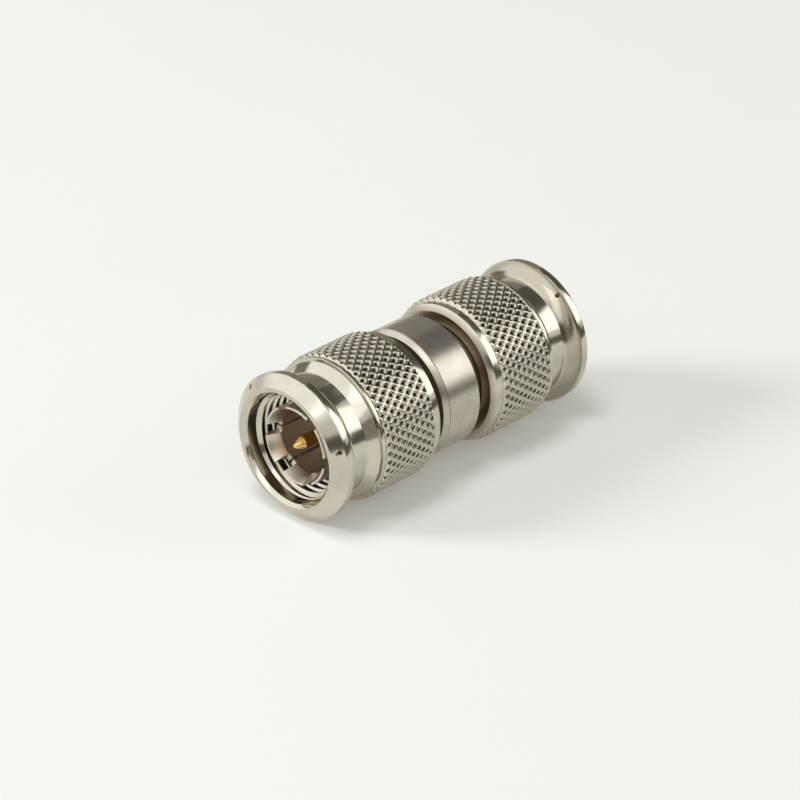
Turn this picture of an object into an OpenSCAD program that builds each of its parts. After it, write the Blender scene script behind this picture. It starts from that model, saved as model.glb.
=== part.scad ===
// Straight coaxial adapter with a threaded coupling nut on each end.
// A tubular body in two halves carries slotted outer contacts, a through centre contact and knurled nuts.
// Millimetres, +Z up, standing on the flat lip of the lower nut.
// Nut sizes are measured from the nut's own lip, end sizes from the nearer face of the middle band.

/* [Layout] */
// Gap between the upper end of the band's room and the rear face of the upper nut
upper_gap = 0.4; // [0.35:0.05:0.6]
// Gap between the band and the rear face of the lower nut, which is pulled forward
lower_gap = 1.5; // [1.3:0.05:1.6]
// Angle of the first lockwire hole in the upper nut, degrees
upper_nut_angle = 62.8; // [0:0.1:119]
// Angle of the first lockwire hole in the lower nut, degrees
lower_nut_angle = 92.4; // [0:0.1:119]

/* [Coupling nut outside] */
// Length of a coupling nut from lip to rear face
nut_length = 14.1; // [14:0.05:14.6]
// Radius of the flange rim
flange_radius = 7.5; // [7.4:0.05:7.8]
// Outer radius of the flat front lip
lip_radius = 6.32; // [6.2:0.02:6.5]
// Distance from lip to the front edge of the rim
rim_front = 0.975; // [0.8:0.025:1.2]
// Width of the rim along the axis
rim_width = 0.775; // [0.6:0.025:0.9]
// Width of the narrow flat ring behind the rim, before the hollow back of the flange
rim_flat = 0.1; // [0.05:0.01:0.2]
// Radius of the neck
neck_radius = 6.22; // [6.15:0.01:6.3]
// Distance from lip to where the hollow back of the flange ends and the neck runs straight
neck_start = 2.9; // [2.7:0.05:3.1]
// Distance from lip to the foot of the cone that rises to the grip
cone_start = 4.71; // [4.4:0.05:4.9]
// Distance from lip to the top of that cone
cone_end = 5.78; // [5.6:0.02:5.9]
// Radius at the top of that cone
cone_radius = 6.92; // [6.8:0.02:7]
// Radius of the plain land in front of the knurl
land_radius = 7.31; // [7.28:0.01:7.36]
// Radius of the plain collar behind the knurl
collar_radius = 7.15; // [7.12:0.01:7.2]
// Length of the rear edge cone
rear_edge = 0.35; // [0.3:0.05:0.5]
// Radius of the flat rear face
rear_face_radius = 6.53; // [6.4:0.01:6.6]

/* [Knurl] */
// Distance from lip to the start of the knurl
knurl_start = 6.22; // [6.1:0.02:6.3]
// Length of the knurl along the axis
knurl_length = 6.7; // [6.5:0.05:6.9]
// Number of pits around one row
knurl_count = 48; // [44:2:52]
// Number of pit rows
knurl_rows = 10; // [8:2:12]
// Radius over the ridges
knurl_radius = 7.5; // [7.45:0.01:7.55]
// Depth of the pits below the ridges
knurl_depth = 0.3; // [0.2:0.02:0.34]
// Angle of the first pit of the upper nut, degrees
upper_knurl_angle = 6.5; // [0:0.1:7.5]

/* [Lockwire holes] */
// Number of lockwire holes through the flange
wire_count = 3; // [2:1:4]
// Diameter of a lockwire hole as a share of how far the rim stands out from the neck
wire_share = 0.32; // [0.3:0.02:0.6]
// Place of a lockwire hole between the neck, 0, and the rim, 1
wire_place = 0.625; // [0.5:0.005:0.65]

/* [Coupling nut bore] */
// Radius at the inner edge of the lip
lip_inner_radius = 5.9; // [5.8:0.02:6]
// Radius of the smooth mouth
mouth_radius = 5.6; // [5.56:0.01:5.66]
// Length of the edge cone at the mouth
mouth_edge = 0.4; // [0.3:0.05:0.5]
// Depth of the smooth mouth
mouth_depth = 1.5; // [1.4:0.05:1.7]
// Crest radius of the internal thread
thread_radius = 5.1; // [5.06:0.01:5.16]
// Distance from lip to the end of the thread
thread_end = 8.2; // [8:0.05:8.4]
// Room around the retaining ring, which also sets the relief behind the thread
relief_room = 0.2; // [0.15:0.01:0.25]
// Distance from lip to the front bearing land
front_land_start = 9.4; // [9.3:0.05:9.5]
// Distance from lip to the ring groove
ring_groove_start = 11; // [10.95:0.05:11]
// Length of the rear bearing land
rear_land_length = 0.7; // [0.65:0.01:0.75]

/* [Body] */
// Radius of the middle band
band_radius = 6.7; // [6.6:0.02:6.8]
// Length of the room for the middle band, both halves together
band_length = 5.4; // [5.2:0.1:5.8]
// Length of the narrow part of that room that belongs to the upper half
upper_band = 1.1; // [1:0.05:1.3]
// Depth by which the face of that narrow part lies behind the upper end of the band's room
upper_recess = 0.58; // [0.4:0.02:0.7]
// Share of the narrow part's length that its edge cone takes
upper_edge_share = 0.85; // [0.6:0.05:0.9]
// Edge cone on the lower end of the band
band_edge = 0.2; // [0.15:0.01:0.3]
// Wall of the necks that carry the nuts, around the seat of the outer contact
body_wall = 1.13; // [1.1:0.01:1.15]
// Length of a neck from the band
body_reach = 5.1; // [5.05:0.05:5.2]
// Distance from the band to the seat of the outer contact
seat_depth = 2; // [1.9:0.05:2.1]
// Radius of the spigot that joins the two halves
spigot_radius = 4.68; // [4.6:0.02:4.76]
// Length of the spigot
spigot_length = 3.5; // [3:0.1:3.6]
// Space left below the spigot
spigot_space = 0.2; // [0.1:0.05:0.3]

/* [Retaining rings] */
// Distance from the band to the ring groove in the neck
groove_start = 2.5; // [2.45:0.05:2.5]
// Width of the groove in the neck
groove_width = 0.7; // [0.65:0.01:0.72]
// Wall left under the groove in the neck
groove_wall = 0.48; // [0.44:0.01:0.52]
// Room between the bottom of the groove and the ring
ring_room = 0.2; // [0.15:0.01:0.25]
// Height of the ring above the neck
ring_stand = 0.35; // [0.3:0.01:0.38]
// Thickness of a ring
ring_thickness = 0.6; // [0.5:0.02:0.6]
// Width of the split in a ring
ring_split = 1.2; // [0.8:0.1:2]

/* [Gaskets] */
// Distance that the edge of a gasket stays inside the edge of the neck
gasket_inset = 0.2; // [0.15:0.01:0.3]
// Thickness of a gasket
gasket_thickness = 0.8; // [0.6:0.05:1]

/* [Contacts] */
// Distance from the band to the front of the outer contact
contact_reach = 13.3; // [13:0.1:13.4]
// Outer radius of the outer contact
contact_radius = 4.05; // [4:0.01:4.1]
// Wall of the outer contact at its fingers
finger_wall = 0.75; // [0.7:0.01:0.8]
// Wall of the outer contact around the bead
bead_wall = 0.5; // [0.46:0.01:0.54]
// Number of saw cuts across the outer contact, two slits each
slit_cuts = 3; // [2:1:4]
// Width of a slit between two fingers
slit_width = 0.22; // [0.12:0.02:0.3]
// Length of a slit from the finger tips
slit_length = 5.2; // [4.5:0.1:6]
// Angle of the first slit, degrees
slit_angle = 34; // [0:1:59]
// Width of the notch that opens a slit at the finger tips
notch_width = 1.3; // [0.9:0.05:1.4]
// Depth of that notch
notch_depth = 1.8; // [1.4:0.05:1.9]
// Length of the inner edge cone at the finger tips
tip_edge = 1.7; // [1.4:0.05:1.9]
// Width of the finger tips in front of that cone
tip_width = 0.25; // [0.2:0.01:0.3]
// Outer edge cone of the finger tips
tip_outer_edge = 0.12; // [0.08:0.01:0.13]
// Radius of the centre pins
pin_radius = 0.675; // [0.65:0.005:0.7]
// Radius of the flat end of a pin
pin_end_radius = 0.25; // [0.2:0.01:0.3]
// Length of the cone at a pin's end
pin_cone = 1.1; // [0.9:0.05:1.3]
// Radius of the centre contact inside a bead
bead_pin_radius = 0.85; // [0.8:0.01:0.9]
// Radius of the centre contact between the beads
core_radius = 1.4; // [1.3:0.02:1.5]
// Length of an insulator bead
bead_length = 3.5; // [3.2:0.05:3.6]

/* [Fits] */
// Radial clearance of the nuts on the necks
running_clearance = 0.08; // [0.05:0.01:0.1]
// Radial clearance of pieces that are seated and do not move
seat_clearance = 0.02; // [0.01:0.005:0.03]
// Radial clearance of a gasket on the outer contact
gasket_clearance = 0.05; // [0.02:0.01:0.1]

/* [Hidden] */
$fn = 96;
// height of the faces of the middle band and of the upper lip
band_bottom = nut_length + lower_gap;
band_top = band_bottom + band_length;
joint_height = band_top - upper_band;
upper_face = band_top - upper_recess;
upper_edge = upper_edge_share * (upper_band - upper_recess);
total_height = band_top + upper_gap + nut_length;
// the lockwire holes take their size and place from how far the rim stands out from the neck
wire_radius = wire_share / 2 * (flange_radius - neck_radius);
wire_circle = neck_radius + wire_place * (flange_radius - neck_radius);
// the outer contact sits in the body with the seat clearance, and so does the bead in the contact
seat_radius = contact_radius + seat_clearance;
contact_inner_radius = contact_radius - finger_wall;
tip_radius = contact_radius - tip_width;
bead_seat_radius = contact_radius - bead_wall;
bead_radius = bead_seat_radius - seat_clearance;
pin_hole = bead_pin_radius + seat_clearance;
// the hollow between the seats has the bore of the outer contacts
hollow_radius = contact_inner_radius;
spigot_bore = spigot_radius + seat_clearance;
// necks, gaskets and retaining rings lie around the seats
body_radius = seat_radius + body_wall;
gasket_radius = body_radius - gasket_inset;
groove_radius = seat_radius + groove_wall;
ring_inner_radius = groove_radius + ring_room;
ring_outer_radius = body_radius + ring_stand;
// the nuts run on the necks and clear the rings
land_bore = body_radius + running_clearance;
relief_radius = ring_outer_radius + relief_room;
ring_groove_end = nut_length - rear_land_length;
// the knurl starts and ends a little inside the plain metal on both sides
knurl_embed = 0.1;
knurl_end = knurl_start + knurl_length;
knurl_half_row = knurl_length / knurl_rows;
knurl_columns = 2 * knurl_count;
knurl_front_radius = land_radius - 0.16;
knurl_rear_radius = collar_radius - 0.2;
// plain metal under the knurl, and the inside of the knurled shell
grip_core_radius = 6.9;
knurl_inner_radius = 6.7;
// facets on the hollow back of a flange
back_steps = 6;
// a little extra length so that cuts run clear of faces
over = 1;

// puts an end's pieces on the upper face of the band, z pointing away from it
module on_upper_end() {
  translate([0, 0, band_top])
    children();
}

// puts an end's pieces on the lower face of the band, z pointing away from it
module on_lower_end() {
  translate([0, 0, band_bottom])
    rotate([180, 0, 0])
      children();
}

// height of knurl row j above the nut's lip, the first and last rows being buried in plain metal
function knurl_height(j) =
  j == 0 ? knurl_start - knurl_embed :
  j == knurl_rows + 1 ? knurl_end + knurl_embed :
  knurl_start + (j - 0.5) * knurl_half_row;

// radius of knurl vertex i of row j: ridge crossings and pit bottoms take turns like a chess board
function knurl_vertex_radius(i, j) =
  j == 0 ? knurl_front_radius :
  j == knurl_rows + 1 ? knurl_rear_radius :
  (i + j) % 2 == 0 ? knurl_radius : knurl_radius - knurl_depth;

// index of knurl vertex i of row j, the columns closing around the nut
function knurl_index(i, j) = j * knurl_columns + i % knurl_columns;

// shell with crossing ridges that leave four-sided pits between them
module knurl_shell(first_angle) {
  last = knurl_rows + 1;
  step = 360 / knurl_columns;
  outer = [
    for (j = [0 : last])
      for (i = [0 : knurl_columns - 1])
        let (r = knurl_vertex_radius(i, j), a = first_angle + i * step)
          [r * cos(a), r * sin(a), knurl_height(j)]
  ];
  inner = [
    for (h = [knurl_height(0), knurl_height(last)])
      for (i = [0 : knurl_columns - 1])
        let (a = first_angle + i * step)
          [knurl_inner_radius * cos(a), knurl_inner_radius * sin(a), h]
  ];
  // the ridge runs along the diagonal that joins two crossings
  outer_faces = [
    for (j = [0 : last - 1])
      for (i = [0 : knurl_columns - 1])
        let (
          a = knurl_index(i, j),
          b = knurl_index(i + 1, j),
          c = knurl_index(i + 1, j + 1),
          d = knurl_index(i, j + 1)
        )
          each (i + j) % 2 == 0 ? [[a, d, c], [a, c, b]] : [[a, d, b], [b, d, c]]
  ];
  inner_faces = [
    for (i = [0 : knurl_columns - 1])
      [
        knurl_index(i, last + 1),
        knurl_index(i + 1, last + 1),
        knurl_index(i + 1, last + 2),
        knurl_index(i, last + 2)
      ]
  ];
  front_faces = [
    for (i = [0 : knurl_columns - 1])
      [
        knurl_index(i, 0),
        knurl_index(i + 1, 0),
        knurl_index(i + 1, last + 1),
        knurl_index(i, last + 1)
      ]
  ];
  rear_faces = [
    for (i = [0 : knurl_columns - 1])
      [
        knurl_index(i, last),
        knurl_index(i, last + 2),
        knurl_index(i + 1, last + 2),
        knurl_index(i + 1, last)
      ]
  ];
  polyhedron(
    points = concat(outer, inner),
    faces = concat(outer_faces, inner_faces, front_faces, rear_faces),
    convexity = 6
  );
}

// points on the hollow back of the flange, a quarter of an ellipse from the rim to the neck
function flange_back(rim_end) = [
  for (step = [0 : back_steps])
    let (turn = 90 * step / back_steps, wide = flange_radius - rim_flat - neck_radius)
      [neck_radius + wide * (1 - sin(turn)), neck_start - (neck_start - rim_end) * cos(turn)]
];

// section of the coupling nut, radius against distance from the lip
module nut_section() {
  rim_end = rim_front + rim_width;
  polygon(concat([
    [lip_inner_radius, 0],
    [lip_radius, 0],
    [flange_radius, rim_front],
    [flange_radius, rim_end]
  ], flange_back(rim_end), [
    [neck_radius, cone_start],
    [cone_radius, cone_end],
    [land_radius, cone_end],
    [land_radius, knurl_start],
    [grip_core_radius, knurl_start],
    [grip_core_radius, knurl_end],
    [collar_radius, knurl_end],
    [collar_radius, nut_length - rear_edge],
    [rear_face_radius, nut_length],
    [land_bore, nut_length],
    [land_bore, ring_groove_end],
    [relief_radius, ring_groove_end],
    [relief_radius, ring_groove_start],
    [land_bore, ring_groove_start],
    [land_bore, front_land_start],
    [relief_radius, front_land_start],
    [relief_radius, thread_end],
    [thread_radius, thread_end],
    [thread_radius, mouth_depth],
    [mouth_radius, mouth_depth],
    [mouth_radius, mouth_edge]
  ]));
}

// turned nut with lockwire holes through its flange and a knurled grip
module coupling_nut(wire_angle, knurl_angle) {
  difference() {
    rotate_extrude()
      nut_section();
    for (i = [0 : wire_count - 1])
      rotate([0, 0, wire_angle + i * 360 / wire_count])
        translate([wire_circle, 0, -over])
          cylinder(r = wire_radius, h = neck_start + over, $fn = 32);
  }
  knurl_shell(knurl_angle);
}

// split ring that lies in the groove of a neck and reaches into the groove of its nut
module retaining_ring() {
  difference() {
    translate([0, 0, groove_start])
      rotate_extrude()
        translate([ring_inner_radius, 0])
          square([ring_outer_radius - ring_inner_radius, ring_thickness]);
    translate([0, -ring_split / 2, groove_start - over])
      cube([ring_outer_radius + over, ring_split, ring_thickness + 2 * over]);
  }
}

// flat rubber ring on the front face of a neck
module gasket() {
  translate([0, 0, body_reach])
    rotate_extrude()
      translate([contact_radius + gasket_clearance, 0])
        square([gasket_radius - contact_radius - gasket_clearance, gasket_thickness]);
}

// box that cuts across both walls of the outer contact, down from the finger tips
module finger_cut(width, depth) {
  translate([-contact_radius - over, -width / 2, contact_reach - depth])
    cube([2 * contact_radius + 2 * over, width, depth + over]);
}

// sleeve with spring fingers, its wider rear bore holding the bead
module outer_contact() {
  bead_end = seat_depth + bead_length;
  difference() {
    rotate_extrude()
      polygon([
        [bead_seat_radius, seat_depth],
        [contact_radius, seat_depth],
        [contact_radius, contact_reach - tip_outer_edge],
        [contact_radius - tip_outer_edge, contact_reach],
        [tip_radius, contact_reach],
        [contact_inner_radius, contact_reach - tip_edge],
        [contact_inner_radius, bead_end],
        [bead_seat_radius, bead_end]
      ]);
    for (i = [0 : slit_cuts - 1])
      rotate([0, 0, slit_angle + i * 180 / slit_cuts]) {
        finger_cut(slit_width, slit_length);
        finger_cut(notch_width, notch_depth);
      }
  }
}

// plain disc that centres the pin
module insulator_bead() {
  translate([0, 0, seat_depth])
    rotate_extrude()
      translate([pin_hole, 0])
        square([bead_radius - pin_hole, bead_length]);
}

// lower half of the body: neck, most of the band and the socket for the spigot
module main_body() {
  color([0.72, 0.70, 0.66])
    rotate_extrude()
      polygon([
        [seat_radius, band_bottom - body_reach],
        [body_radius, band_bottom - body_reach],
        [body_radius, band_bottom - groove_start - groove_width],
        [groove_radius, band_bottom - groove_start - groove_width],
        [groove_radius, band_bottom - groove_start],
        [body_radius, band_bottom - groove_start],
        [body_radius, band_bottom],
        [band_radius - band_edge, band_bottom],
        [band_radius, band_bottom + band_edge],
        [band_radius, joint_height],
        [spigot_bore, joint_height],
        [spigot_bore, joint_height - spigot_length - spigot_space],
        [hollow_radius, joint_height - spigot_length - spigot_space],
        [hollow_radius, band_bottom - seat_depth],
        [seat_radius, band_bottom - seat_depth]
      ]);
}

// upper half of the body: spigot, narrow part of the band and neck
module upper_body() {
  color([0.72, 0.70, 0.66])
    rotate_extrude()
      polygon([
        [hollow_radius, joint_height - spigot_length],
        [spigot_radius, joint_height - spigot_length],
        [spigot_radius, joint_height],
        [band_radius, joint_height],
        [band_radius, upper_face - upper_edge],
        [band_radius - upper_edge, upper_face],
        [body_radius, upper_face],
        [body_radius, band_top + groove_start],
        [groove_radius, band_top + groove_start],
        [groove_radius, band_top + groove_start + groove_width],
        [body_radius, band_top + groove_start + groove_width],
        [body_radius, band_top + body_reach],
        [seat_radius, band_top + body_reach],
        [seat_radius, band_top + seat_depth],
        [hollow_radius, band_top + seat_depth]
      ]);
}

module upper_coupling_nut() {
  color([0.75, 0.73, 0.69])
    translate([0, 0, total_height])
      rotate([180, 0, 0])
        coupling_nut(upper_nut_angle, upper_knurl_angle);
}

module lower_coupling_nut() {
  color([0.75, 0.73, 0.69])
    coupling_nut(lower_nut_angle, lower_nut_angle);
}

module upper_retaining_ring() {
  color([0.6, 0.58, 0.55])
    on_upper_end()
      retaining_ring();
}

module lower_retaining_ring() {
  color([0.6, 0.58, 0.55])
    on_lower_end()
      retaining_ring();
}

module upper_gasket() {
  color([0.45, 0.2, 0.15])
    on_upper_end()
      gasket();
}

module lower_gasket() {
  color([0.45, 0.2, 0.15])
    on_lower_end()
      gasket();
}

module upper_outer_contact() {
  color([0.7, 0.66, 0.6])
    on_upper_end()
      outer_contact();
}

module lower_outer_contact() {
  color([0.7, 0.66, 0.6])
    on_lower_end()
      outer_contact();
}

module upper_insulator_bead() {
  color([0.9, 0.89, 0.85])
    on_upper_end()
      insulator_bead();
}

module lower_insulator_bead() {
  color([0.9, 0.89, 0.85])
    on_lower_end()
      insulator_bead();
}

// one turned rod, thick between the beads, stepped through them, with a pointed pin at each end
module centre_contact() {
  low_tip = band_bottom - contact_reach;
  low_seat = band_bottom - seat_depth;
  high_seat = band_top + seat_depth;
  high_tip = band_top + contact_reach;
  color([0.85, 0.65, 0.3])
    rotate_extrude()
      polygon([
        [0, low_tip],
        [pin_end_radius, low_tip],
        [pin_radius, low_tip + pin_cone],
        [pin_radius, low_seat - bead_length],
        [bead_pin_radius, low_seat - bead_length],
        [bead_pin_radius, low_seat],
        [core_radius, low_seat],
        [core_radius, high_seat],
        [bead_pin_radius, high_seat],
        [bead_pin_radius, high_seat + bead_length],
        [pin_radius, high_seat + bead_length],
        [pin_radius, high_tip - pin_cone],
        [pin_end_radius, high_tip],
        [0, high_tip]
      ]);
}

main_body();
upper_body();
upper_coupling_nut();
lower_coupling_nut();
upper_retaining_ring();
lower_retaining_ring();
upper_gasket();
lower_gasket();
upper_outer_contact();
lower_outer_contact();
upper_insulator_bead();
lower_insulator_bead();
centre_contact();
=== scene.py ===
import math

import bmesh
import bpy
import numpy as np
from mathutils import Matrix, Vector


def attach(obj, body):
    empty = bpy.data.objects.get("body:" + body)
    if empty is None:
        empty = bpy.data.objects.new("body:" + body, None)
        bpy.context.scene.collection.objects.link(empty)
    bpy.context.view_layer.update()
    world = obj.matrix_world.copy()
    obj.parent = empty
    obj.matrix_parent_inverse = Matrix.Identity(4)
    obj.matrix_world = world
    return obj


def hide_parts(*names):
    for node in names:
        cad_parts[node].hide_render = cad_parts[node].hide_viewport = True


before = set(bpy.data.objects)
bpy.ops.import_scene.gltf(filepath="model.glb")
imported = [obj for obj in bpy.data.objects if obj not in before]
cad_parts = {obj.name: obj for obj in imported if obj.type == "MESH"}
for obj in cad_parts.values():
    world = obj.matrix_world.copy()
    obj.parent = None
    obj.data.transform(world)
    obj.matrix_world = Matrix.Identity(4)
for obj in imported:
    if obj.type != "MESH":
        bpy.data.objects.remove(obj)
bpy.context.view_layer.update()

bl_info = {
    "name": "Coaxial adapter with two coupling nuts",
    "version": (1, 0, 0),
    "blender": (4, 5, 0),
    "location": "3D View > Sidebar > Adapter",
    "description": "Builds the turned, knurled and slotted pieces of a straight coaxial adapter",
    "category": "Object",
}

MM = 0.001
TURN = 2 * math.pi
# vertices closer than this are the same vertex of two neighbouring surfaces
WELD = 1e-7
# columns around the turned pieces
NUT_COLUMNS, BODY_COLUMNS, PIN_COLUMNS = 288, 256, 96
BEAD_COLUMNS, GASKET_COLUMNS = 128, 160

# roundings of the turned edges, from crisp to broad
HAIR, CRISP, FINE, SOFT, EASED, BROAD = 0.01 * MM, 0.03 * MM, 0.04 * MM, 0.05 * MM, 0.08 * MM, 0.1 * MM
# roundings of the lip's inner and outer edges, and of the narrow ring in front of the knurl
LIP_INNER_ROUND, LIP_OUTER_ROUND, LAND_ROUND = 0.12 * MM, 0.09 * MM, 0.06 * MM
# roundings of the finger tips outside and inside, and of the pin's point and shoulder
TIP_OUTER_ROUND, TIP_INNER_ROUND = 0.12 * MM, 0.07 * MM
PIN_POINT_ROUND, PIN_SHOULDER_ROUND = 0.12 * MM, 0.2 * MM
BEAD_ROUND, GASKET_ROUND = 0.12 * MM, 0.2 * MM
# largest part of an edge that the rounding at one of its ends takes
ROUND_ROOM = 0.48

# rows of the knurl between two neighbouring rows of pits
KNURL_STEPS = 6
# the knurl's surface starts this far inside its ends, and the plain rings stop this far outside them
KNURL_INSET, KNURL_GAP = 0.03 * MM, 0.02 * MM
# the ridges rise over this length at both ends, from a foot that lies this many pit depths below the crests
KNURL_RISE, KNURL_FOOT = 0.2 * MM, 1.1
# shares of half a pit's pitch at which its floor ends and its ridge's flat top begins
PIT_FLOOR, PIT_TOP = 0.0, 0.88
# power that rounds a pit's corners, and the part of its depth that a straight wall takes
PIT_CORNER, PIT_SLOPE = 5, 0.3
# part of a pit's depth at which its painted shade starts, and at which it is complete
PIT_SHADE_START, PIT_SHADE_FULL = 0.12, 0.45
# how far the ends of the arc behind the flange turn from the straight line between them
FLARE_BEND = math.radians(28)
# distances of two plain rings on the neck from the end of that arc
NECK_RINGS = 0.06 * MM, 0.16 * MM
# how much painted shade the back of the flange gets, where the rear face counts as 1
BACK_SHADE = 0.6
# lengths over which that painted shade fades at the rim and at the neck
BACK_FADE = 0.05 * MM, 0.4 * MM
# margin on a radius that tells a nut's outer faces from its inner ones
FACE_MARGIN = 0.05 * MM
# depth of what counts as the rear face
REAR_DEPTH = 0.03 * MM
# how far the pierced faces stay from the lip's edge, and from the rim in front and behind
LIP_MARGIN, FRONT_MARGIN, BACK_MARGIN = 0.1 * MM, 0.06 * MM, 0.03 * MM
# lockwire holes in a flange; columns on each side of one, rows across it, and rings from the frame to it
WIRE_HOLES = 3
HOLE_COLUMNS, HOLE_ROWS, HOLE_RINGS = 4, 12, 5
# a hole's broken edge: its radius over the hole's own, and its depth
HOLE_EDGE, HOLE_SINK = 1.2, 0.05 * MM
# half the widths of the thread's flat crest and root, as shares of its pitch
CREST_HALF, ROOT_HALF = 0.125, 0.0625
# the thread's ends are chamfered from this far inside the mouth's radius, and this steeply
THREAD_STEP, THREAD_SLOPE = 0.1 * MM, 1.1
# length over which the thread's roots reach their full depth
THREAD_RISE = 0.25 * MM

# fingers of an outer contact, and columns of faces on each
FINGERS, FINGER_CELLS = 6, 18
# edges of the fingers that are sharper than this are broken, with this many faces
BREAK_ANGLE, BREAK_STEPS = math.radians(40), 2

# scales of the lathe's rings and of the clouds on metal, and the parts of their range that show
RING_SCALE, RING_RANGE = 7000.0, (0.3, 0.7)
CLOUD_SCALE, CLOUD_RANGE = 420.0, (0.35, 0.7)
# height of the fine rings that a lathe leaves, and how much they swing the roughness
LATHE_RELIEF, LATHE_SWING = 0.0005 * MM, 0.02
# grain of the beads and of the gaskets: its scale and its height
BEAD_GRAIN, RUBBER_GRAIN = (3000.0, 0.002 * MM), (4000.0, 0.004 * MM)
# part of the grain's range that shows, and how much it swings the roughness
GRAIN_RANGE, GRAIN_SWING = (0.3, 0.7), 0.08
# scale of the mottled colour over the grain's, and the part of its range that shows
MOTTLE_SCALE, MOTTLE_RANGE = 0.25, (0.4, 0.75)
# places of the factor and the two colours among a Mix node's inputs, and of the colour among its outputs
MIX_INPUTS, MIX_OUTPUT = (0, 6, 7), 2
# the painted shade beside the band starts this far inside its upper chamfer, and fades over this width
GAP_START, GAP_FADE = 0.038 * MM, 0.1 * MM
# the painted shade in the bore of the fingers reaches this far into the flare of their tips, and fades over
# this width
BORE_START, BORE_FADE = 0.08 * MM, 0.06 * MM

# the top of the stand is the plane that both flanges touch; these are its directions in the row frame
STAND_RIGHT = Vector((-0.66811, 0.25796, -0.69791))
STAND_AWAY = Vector((0.65105, -0.25130, -0.71615))
STAND_UP = Vector((-0.36018, -0.93288, 0.0))
# the stand's radius and the shift of its middle to the left and to the back, in metres
STAND_RADIUS, STAND_SHIFT = 0.3, 0.152
STAND_COLUMNS, STAND_RINGS = 96, 25
# how far the paper lies below the flanges, so that the two never share a plane
STAND_GAP = 0.02 * MM
# clouds, roughness and sheen of the paper
PAPER_SCALE, PAPER_ROUGH, PAPER_SHEEN = 30.0, 0.9, 0.1
# the camera's right is the stand's; these are its up, its back and its place in the row frame
CAMERA_UP = Vector((0.0, -0.93798, -0.34669))
CAMERA_BACK = Vector((-0.74406, -0.23163, 0.62668))
CAMERA_PLACE = Vector((-0.23883, -0.07382, 0.22133))
# width of the camera's sensor in millimetres, and the nearest and farthest distance that it shows
SENSOR_WIDTH = 36.0
CLIP_START, CLIP_END = 0.01, 10.0
# lean of the brightest part of the room towards the left, and the cosines between which it fades
SKY_LEAN, SKY_EDGE = math.radians(35), (0.53, 0.74)
# distances of the lamps and of the screens behind them
LAMP_RADIUS, SCREEN_RADIUS = 1.0, 1.6
# lamps: name, shape, width and height in metres, bearing and elevation in degrees, and if metal mirrors them
LAMPS = (
    ("front", "RECTANGLE", (1.2, 0.5), (-97, 46), True),
    ("right", "RECTANGLE", (0.52, 0.62), (0, 30), True),
    ("top", "DISK", (0.42, 0.42), (-150, 76), False),
    ("key", "DISK", (0.31, 0.31), (-175, 27), False),
)
# screens: name, cloth, and the bearings and elevations of their edges in degrees
SCREENS = (
    ("low_screen", "dark", (-122, -85), (-12, 10)),
    ("camera_screen", "grey", (-85, -62), (-12, 22)),
    ("near_screen", "dark", (-62, -22), (-12, 27)),
    ("right_screen", "dark", (-22, -6), (-12, 16)),
    ("far_screen", "dark", (-6, 20), (-12, 5)),
    ("high_screen", "dark", (20, 76), (-12, 58)),
    ("back_screen", "grey", (76, 98), (-2, 50)),
    ("left_screen", "grey", (98, 142), (-2, 22)),
)
SCREEN_COLUMNS, SCREEN_ROWS = 49, 17
# scale of the cloth's weave, how deep its darker threads are, and its roughness
WEAVE_SCALE, WEAVE_DEPTH, CLOTH_ROUGH = 60.0, 0.85, 0.95


def length(name, millimetres, text):
    """A size that a user may change, given in millimetres and kept in metres."""
    return bpy.props.FloatProperty(
        name=name, description=text, default=millimetres * MM, min=0.0, precision=6,
        subtype="DISTANCE", unit="LENGTH",
    )


def tint(name, colour, text):
    """A linear colour that a user may change."""
    return bpy.props.FloatVectorProperty(
        name=name, description=text, default=colour, size=4, min=0.0, max=1.0, subtype="COLOR",
    )


def share(name, value, text, most=1.0):
    """A plain factor that a user may change."""
    return bpy.props.FloatProperty(name=name, description=text, default=value, min=0.0, max=most)


def bearing(name, degrees, text):
    """An angle that a user may change, given in degrees and kept in radians."""
    return bpy.props.FloatProperty(
        name=name, description=text, default=math.radians(degrees), subtype="ANGLE", unit="ROTATION",
    )


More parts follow.
